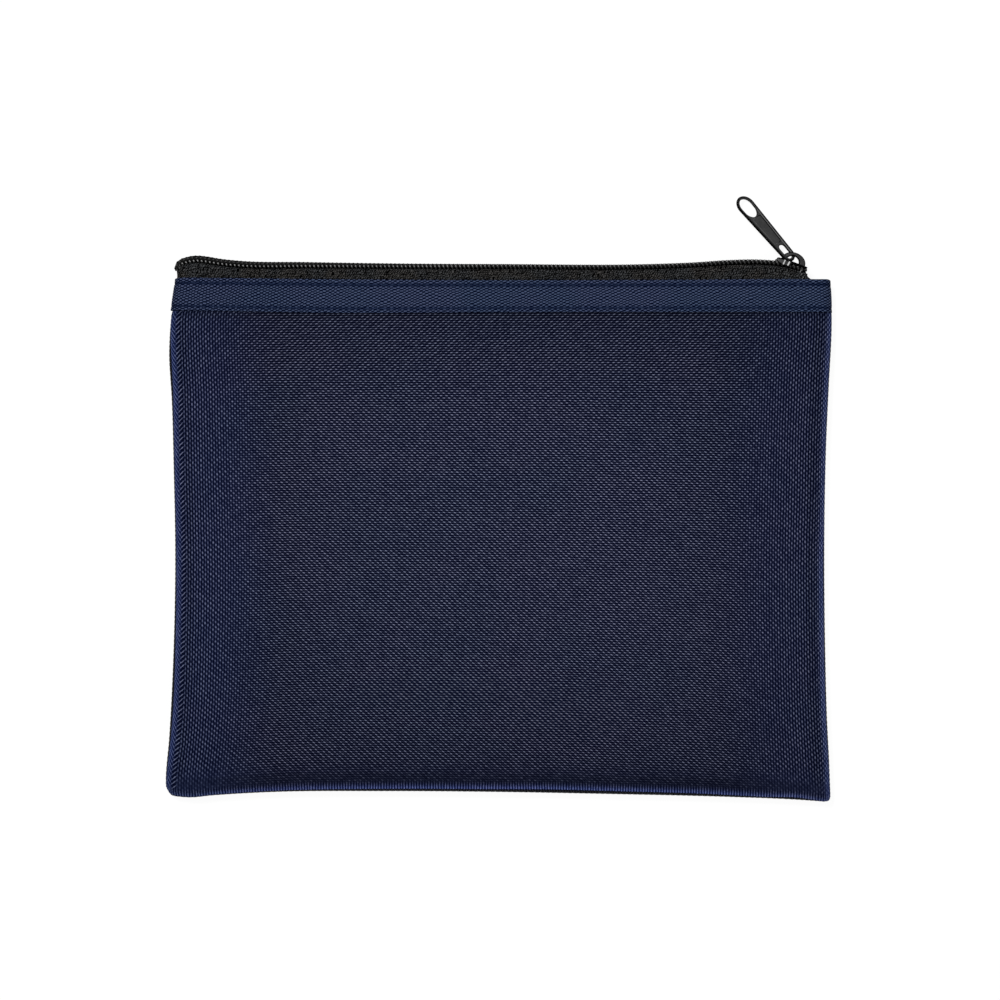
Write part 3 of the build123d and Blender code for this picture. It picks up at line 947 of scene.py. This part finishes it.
def coil(name, side):
    """A wound nylon coil on one side of the zip's middle; the other side's turns lie between its own."""
    points, normal, at = zip_path(COIL_PITCH / COIL_STEPS)
    turn = 2 * math.pi * at / COIL_PITCH + (0 if side > 0 else math.pi)
    depth = side * (COIL_OFFSET + COIL_DEPTH * np.sin(turn))
    path = chain_places(points, normal, COIL_HEIGHT * np.cos(turn), depth)
    radius = COIL_WIRE + (COIL_HEAD - COIL_WIRE) * np.clip(np.cos(turn), 0, 1) ** 2
    wire, faces = tube(path, radius, COIL_SIDES, (1, 0.02, 0))
    piece = add_mesh(name, wire, faces, coil_material)
    outer = side * (wire - np.repeat(path, COIL_SIDES, axis=0))[:, 2] / np.repeat(radius, COIL_SIDES)
    facing = outer / np.repeat(outer.reshape(-1, COIL_SIDES).max(axis=1), COIL_SIDES)
    shine = np.repeat(coil_shine(points[:, 0], turn), COIL_SIDES)
    # painted highlight on the outward face of each turn
    keep_value(piece, "painted_shine", smooth_step(facing, 0.6, 1.0) * shine)
    return piece


def coil_cord(name, side):
    """The cord that the coil is wound round."""
    points, normal, _ = zip_path(1.0)
    path = chain_places(points, normal, CORD_RISE, side * (COIL_OFFSET + CORD_OUT))
    return add_mesh(name, *tube(path, CORD_RADIUS, COIL_SIDES, UP), cord_material)


def tape_rows(x, crest, side):
    """Points of a tape, row by row: up from inside the mouth, over its fold and in to the zip's middle."""
    closed = np.sqrt(1 - np.clip((TAPE_CLOSING - x) / TAPE_CLOSED_RADIUS, 0, 0.99) ** 2)
    section = [(share, 0.0) for share in np.linspace(0, 1, 18)]
    section += [(1.0, turn) for turn in np.linspace(0, RIGHT_ANGLE, 6)[1:]]
    rows = []
    for share, turn in section:
        y = TAPE_BASE + (crest - TAPE_FOLD - TAPE_BASE) * share + TAPE_FOLD * math.sin(turn)
        z = MIDDLE + side * (TAPE_OFFSET - TAPE_FOLD * (1 - math.cos(turn))) * closed
        rows.append(np.column_stack([x, y, z]))
    for share in np.linspace(0, 1, 5)[1:]:
        z = MIDDLE + side * ((TAPE_OFFSET - TAPE_FOLD) * (1 - share) + TAPE_INNER * share) * closed
        rows.append(np.column_stack([x, crest, z]))
    return np.stack(rows)


def tape(name, side):
    """One zip tape, whose ends are drawn to their outlines."""
    fold = [(x, y - (float(tape_drop_at(x)) if side > 0 else BACK_TAPE_DROP))
            for x, y in zip_line if x > TAPE_CORNER_END]
    x = np.arange(TAPE_LEFT, TAPE_RIGHT, TAPE_STEP)
    grid = tape_rows(x, curve_through(tape_corner + fold)(x), side)
    y = grid[..., 1]
    near_left = smooth_step(-x, TAPE_DRAWN_LEFT, -TAPE_LEFT)
    near_right = smooth_step(x, TAPE_DRAWN_RIGHT, TAPE_RIGHT)
    grid[..., 0] += near_left * (tape_start_at(y) - TAPE_LEFT)
    grid[..., 0] += near_right * (tape_end_at(y) - TAPE_END)
    step = np.linalg.norm(np.diff(grid, axis=0), axis=2).mean(axis=1)
    run = np.concatenate([[0], np.cumsum(step)])
    threads = np.stack(np.broadcast_arrays(x[None, :] / TWILL_PITCH, run[:, None] / TWILL_PITCH), axis=-1)
    piece = add_grid(name, grid, tape_material, threads, flip=side > 0)
    return thicken(piece, TAPE_THICKNESS)


def bar_tack():
    """Slanting thread that ties the tape ends beyond the slider."""
    places = [(x, y, MIDDLE + TAPE_OFFSET + TACK_RISE) for x, y in tack_places]
    sizes = {"length": TACK_LENGTH, "radius": TACK_RADIUS}
    return sew("bar_tack_thread", places, [TACK_RUN] * len(places), UP, tack_material, **sizes)


for face, side in FACES.items():
    cloth = stand(tape(f"{face}_tape", side), f"{face}_zip_tape")
    stand(coil(f"{face}_coil_turns", side), f"{face}_coil")
    stand(coil_cord(f"{face}_cord", side), f"{face}_coil_cord")
stand(bar_tack(), "right_bar_tack")

# Slider and tab


def add_metal(name, parts, matrix, material, body):
    """A metal piece made in its own millimetre frame and put in place.

    Each part is a shape, how black its painted shade makes it and how pale its painted highlight, for the
    whole shape or for each of its points.
    """
    shapes, painted_shade, painted_shine = zip(*parts)
    points, faces = join(shapes)
    piece = add_mesh(name, [tuple(matrix @ Vector(p)) for p in points], faces, material, body)
    for key, values in (("rim", painted_shade), ("painted_shine", painted_shine)):
        spread = [np.broadcast_to(value, len(shape[0])) for value, shape in zip(values, shapes)]
        keep_value(piece, key, np.concatenate(spread))
    return piece


def bevel(piece, width):
    made = piece.modifiers.new("edges", "BEVEL")
    made.width = width * MM
    made.segments = 3
    made.limit_method = "ANGLE"
    made.angle_limit = math.radians(40)


def prism(outline, low, high):
    """Points and faces of a straight prism over a flat outline, standing along the third axis."""
    count = len(outline)
    points = [(*p, low) for p in outline] + [(*p, high) for p in outline]
    faces = [tuple(reversed(range(count))), tuple(range(count, 2 * count))]
    faces += [(i, (i + 1) % count, (i + 1) % count + count, i + count) for i in range(count)]
    return np.array(points, float), faces


def arc(middle, radius, start, stop, count):
    turn = np.radians(np.linspace(start, stop, count))
    return [(middle[0] + radius * math.cos(t), middle[1] + radius * math.sin(t)) for t in turn]


def arch_line(arch, start, stop):
    """Points over the top of one of the bridge's arches, from one angle to another in degrees."""
    middle, half_width, height = arch
    turn = np.radians(np.linspace(start, stop, ARCH_POINTS))
    return [(middle + half_width * math.cos(t), ARCH_FOOT + height * math.sin(t)) for t in turn]


def bridge_outline():
    """The bridge from the side: over its outer arch and back under its inner one."""
    (outer, outer_half, _), (inner, inner_half, _) = ARCH_OUTER, ARCH_INNER
    outline = [(outer + outer_half, BRIDGE_FOOT), *arch_line(ARCH_OUTER, 0, 180)]
    outline += [(outer - outer_half, BRIDGE_FOOT), (inner - inner_half, BRIDGE_FOOT)]
    return outline + arch_line(ARCH_INNER, 180, 0) + [(inner + inner_half, BRIDGE_FOOT)]


def slider_parts():
    """Plates, post, bridge, wings and ribs, each with how black its painted shade is and how pale its painted
    highlight.

    They are in the slider's own frame: x along the zip, y out of it, z across it.
    """
    half, half_arch = SLIDER_HALF_WIDTH, ARCH_DEPTH / 2
    # painted shade: plates, post and the beads along the arches and wings are blackened, the bridge and wings
    # a little
    parts = [
        (prism(plate_outline, -half, half), 1.0, 0.0),
        (prism(under_outline, -half, half), 1.0, 0.0),
        (prism(post_outline, -POST_HALF, POST_HALF), 1.0, 0.0),
        (prism(bridge_outline(), -half_arch, half_arch), 0.2, 0.0),
    ]
    for side in (-1, 1):
        for arch, radius in ((ARCH_OUTER, OUTER_BEAD), (ARCH_INNER, INNER_BEAD)):
            line = [(x, y, side * half_arch) for x, y in arch_line(arch, 0, 180)]
            parts.append((tube(line, radius, METAL_SIDES, UP), 1.0, 0.0))
        low, high = sorted((side * FLANGE_INNER, side * (half - FLANGE_INSET)))
        parts.append((prism(wing_outline, low, high), 0.25, 0.0))
        rim = [(x, y, side * half) for x, y in wing_outline]
        parts.append((tube(rim, WING_BEAD, METAL_SIDES, UP, closed=True), 1.0, 0.0))
        # painted highlight: the ribs are painted pale as glints
        for top, foot, radius in slider_ribs:
            share = np.linspace(0, 1, 6)[:, None]
            path = np.array([*top, side * half]) * (1 - share) + np.array([*foot, side * half]) * share
            parts.append((tube(path, radius, METAL_SIDES, UP), 0.0, 1.0))
    return parts


def slider():
    turned = Matrix.Rotation(math.radians(SLIDER_TILT), 4, "Z")
    matrix = Matrix.Translation((*SLIDER_MIDDLE, MIDDLE)) @ turned
    piece = add_metal("slider", slider_parts(), matrix, slider_material, "slider")
    bevel(piece, SLIDER_EDGE)
    return piece


def tab_frame():
    """The tab's own frame: x from the hinge to its tip, z out of its face."""
    pivot = Vector(next(j["pos_m"] for j in frame["joints"] if j["name"] == "tab_swing")) / MM
    turn, pitch, twist = (math.radians(a) for a in (TAB_ANGLE, TAB_PITCH, TAB_TWIST))
    ahead = Vector((math.cos(turn), math.sin(turn), 0))
    beside = Vector((math.sin(turn), -math.cos(turn), 0))
    up = Vector(UP)
    tip_way = ahead * math.cos(pitch) - up * math.sin(pitch)
    raised = up * math.cos(pitch) + ahead * math.sin(pitch)
    facing = raised * math.cos(twist) + beside * math.sin(twist)
    middle = pivot + (ahead - tip_way) * TAB_STRAP
    turned = Matrix((tip_way, facing.cross(tip_way), facing)).transposed().to_4x4()
    return Matrix.Translation(middle) @ turned


def flat_curve(name, outlines, half_thickness, edge):
    """A plate with holes and rounded edges, as points and faces in its own frame, in millimetres."""
    data = bpy.data.curves.new(name, "CURVE")
    data.dimensions = "2D"
    data.fill_mode = "BOTH"
    data.extrude = half_thickness - edge
    data.bevel_depth = edge
    data.bevel_resolution = 2
    data.offset = -edge
    for outline in outlines:
        spline = data.splines.new("POLY")
        spline.points.add(len(outline) - 1)
        spline.use_cyclic_u = True
        for point, (x, y) in zip(spline.points, outline):
            point.co = (x, y, 0, 1)
    holder = add_object(name, data)
    mesh = bpy.data.meshes.new_from_object(holder.evaluated_get(bpy.context.evaluated_depsgraph_get()))
    points = np.array([v.co for v in mesh.vertices])
    faces = [tuple(p.vertices) for p in mesh.polygons]
    bpy.data.objects.remove(holder)
    bpy.data.curves.remove(data)
    return points, faces


def rounded_box(low, high, half_low, half_high, radius):
    """Outline of a field that widens from one end to the other, with rounded corners."""
    corners = [(low, -half_low), (high, -half_high), (high, half_high), (low, half_low)]
    inward = [(1, 1), (-1, 1), (-1, -1), (1, -1)]
    outline = []
    for (x, y), (dx, dy), start in zip(corners, inward, (180, 270, 0, 90)):
        outline += arc((x + dx * radius, y + dy * radius), radius, start, start + 90, 6)
    return outline


def loop(outline, level, radius):
    """A round bead along a closed outline on the tab."""
    return tube([(x, y, level) for x, y in outline], radius, LOOP_SIDES, UP, closed=True)


def on_both_faces(outline, level, radius):
    return [loop(outline, side * level, radius) for side in (-1, 1)]


def between(first, last):
    """Points on the straight line from one point to another, without its ends."""
    (x, y), (last_x, last_y) = first, last
    return [(x + (last_x - x) * share, y + (last_y - y) * share) for share in np.linspace(0.1, 0.9, 9)]


def tab_outline(inset):
    """The tab's outline, drawn in by an inset: round at its tip and root, straight between."""
    (root_x, root_radius), (tip_x, tip_radius) = TAB_ROOT, TAB_TIP
    lean = math.degrees(math.asin((tip_radius - root_radius) / (tip_x - root_x)))
    tip = arc((tip_x, 0), tip_radius - inset, -90 - lean, 90 + lean, 32)
    root = arc((root_x, 0), root_radius - inset, 90 + lean, 270 - lean, 24)
    return tip + between(tip[-1], root[0]) + root + between(root[-1], tip[0])


def tab_eye(grow):
    """The oval eye's outline, grown by a margin."""
    middle, half_length, half_width = TAB_EYE
    half_length, half_width = half_length + grow, half_width + grow
    return [(middle + half_length * math.cos(t), half_width * math.sin(t)) for t in turns(48)]


def tab_parts():
    """The plate and the beads along its rim, eye, slot and field, each with how black its painted shade is
    and how pale its painted highlight.
    """
    rim_line, slot = tab_outline(TAB_BEAD_INSET), rounded_box(*TAB_SLOT)
    plate = flat_curve("plate", [rim_line, tab_eye(EYE_MARGIN), slot], TAB_HALF_THICKNESS, TAB_EDGE)
    # painted shade: the rim bead is blackened, most on its outer side
    outer_share = np.cos(turns(LOOP_SIDES))
    rim_painted_shade = np.tile(0.6 + 0.4 * smooth_step(outer_share, 0.2, 0.6), len(rim_line))
    parts = [(plate, 0.0, 0.0), (loop(rim_line, 0.0, TAB_BEAD), rim_painted_shade, 0.0),
             (loop(tab_eye(EYE_BEAD_MARGIN), 0.0, EYE_BEAD), 1.0, 0.0)]
    # painted shade: the eye and slot beads are blackened
    parts += [(bead, 1.0, 0.0) for bead in on_both_faces(slot, *SLOT_BEADS)]
    # field beads: painted shade below, a faint painted highlight above
    for bead in on_both_faces(rounded_box(*TAB_FIELD), *FIELD_BEADS):
        lower = bead[0][:, 1] < 0
        parts.append((bead, np.where(lower, 1.0, 0.0), np.where(lower, 0.0, 0.06)))
    # painted highlight: a pale line along the lower side of these beads
    for bead in on_both_faces(tab_outline(TAB_PALE_INSET), *PALE_BEADS):
        pale = (bead[0][:, 1] < 0) & (bead[0][:, 0] < TAB_PALE_END)
        parts.append((bead, 0.0, np.where(pale, 0.2, 0.0)))
    return parts


stand(slider(), "slider_body")
stand(add_metal("tab", tab_parts(), tab_frame(), tab_material, "tab"), "pull_tab")

# Stage, in metres


def table_look():
    """Dim paper that keeps a shadow, with a glow that only the camera and mirrors see."""
    look = Look("white_table")
    look.tree.nodes.remove(look.shader)
    paper = look.add("ShaderNodeBsdfDiffuse", {"Color": grey(0.12)})
    seen = 0.0
    for ray in ("Camera", "Glossy", "Transmission"):
        seen = look.most(seen, look.add("ShaderNodeLightPath", {}, f"Is {ray} Ray"))
    glow = look.add("ShaderNodeEmission", {"Strength": look.times(seen, 0.92)})
    both = look.add("ShaderNodeAddShader", {0: paper, 1: glow})
    look.plug(both, look.tree.nodes["Material Output"].inputs["Surface"])
    return look.material


def add_floor():
    """White table, just below the pouch."""
    half = 3.0
    mesh = bpy.data.meshes.new("table")
    corners = [(-half, -half, 0), (half, -half, 0), (half, half, 0), (-half, half, 0)]
    mesh.from_pydata(corners, [], [(0, 1, 2, 3)])
    mesh.materials.append(table_look())
    table = add_object("table", mesh)
    table.location.z = -0.0002


def add_lamp(name, place, size, power):
    data = bpy.data.lights.new(name, "AREA")
    data.size = size
    data.energy = power
    lamp = add_object(name, data)
    lamp.location = place
    lamp.rotation_euler = (-Vector(place)).to_track_quat("-Z", "Y").to_euler()


def add_world():
    world = bpy.data.worlds.new("room")
    world.use_nodes = True
    background = world.node_tree.nodes["Background"]
    background.inputs["Color"].default_value = (1, 1, 1, 1)
    background.inputs["Strength"].default_value = 0.35
    bpy.context.scene.world = world


def add_camera():
    """Straight above, with the photograph's 350 mm across the frame at the height of the seam."""
    lens, sensor, across = 100.0, 36.0, 0.35
    data = bpy.data.cameras.new("camera")
    data.lens = lens
    data.sensor_width = sensor
    camera = add_object("camera", data)
    camera.location = (0, 0, MIDDLE * MM + across * lens / sensor)
    bpy.context.scene.camera = camera


add_floor()
add_world()
add_lamp("key", place=(-0.35, 0.45, 1.25), size=0.25, power=9.2)
add_lamp("fill", place=(0.6, -0.35, 1.2), size=0.5, power=3.3)
add_camera()
bpy.context.scene.view_settings.view_transform = "Standard"
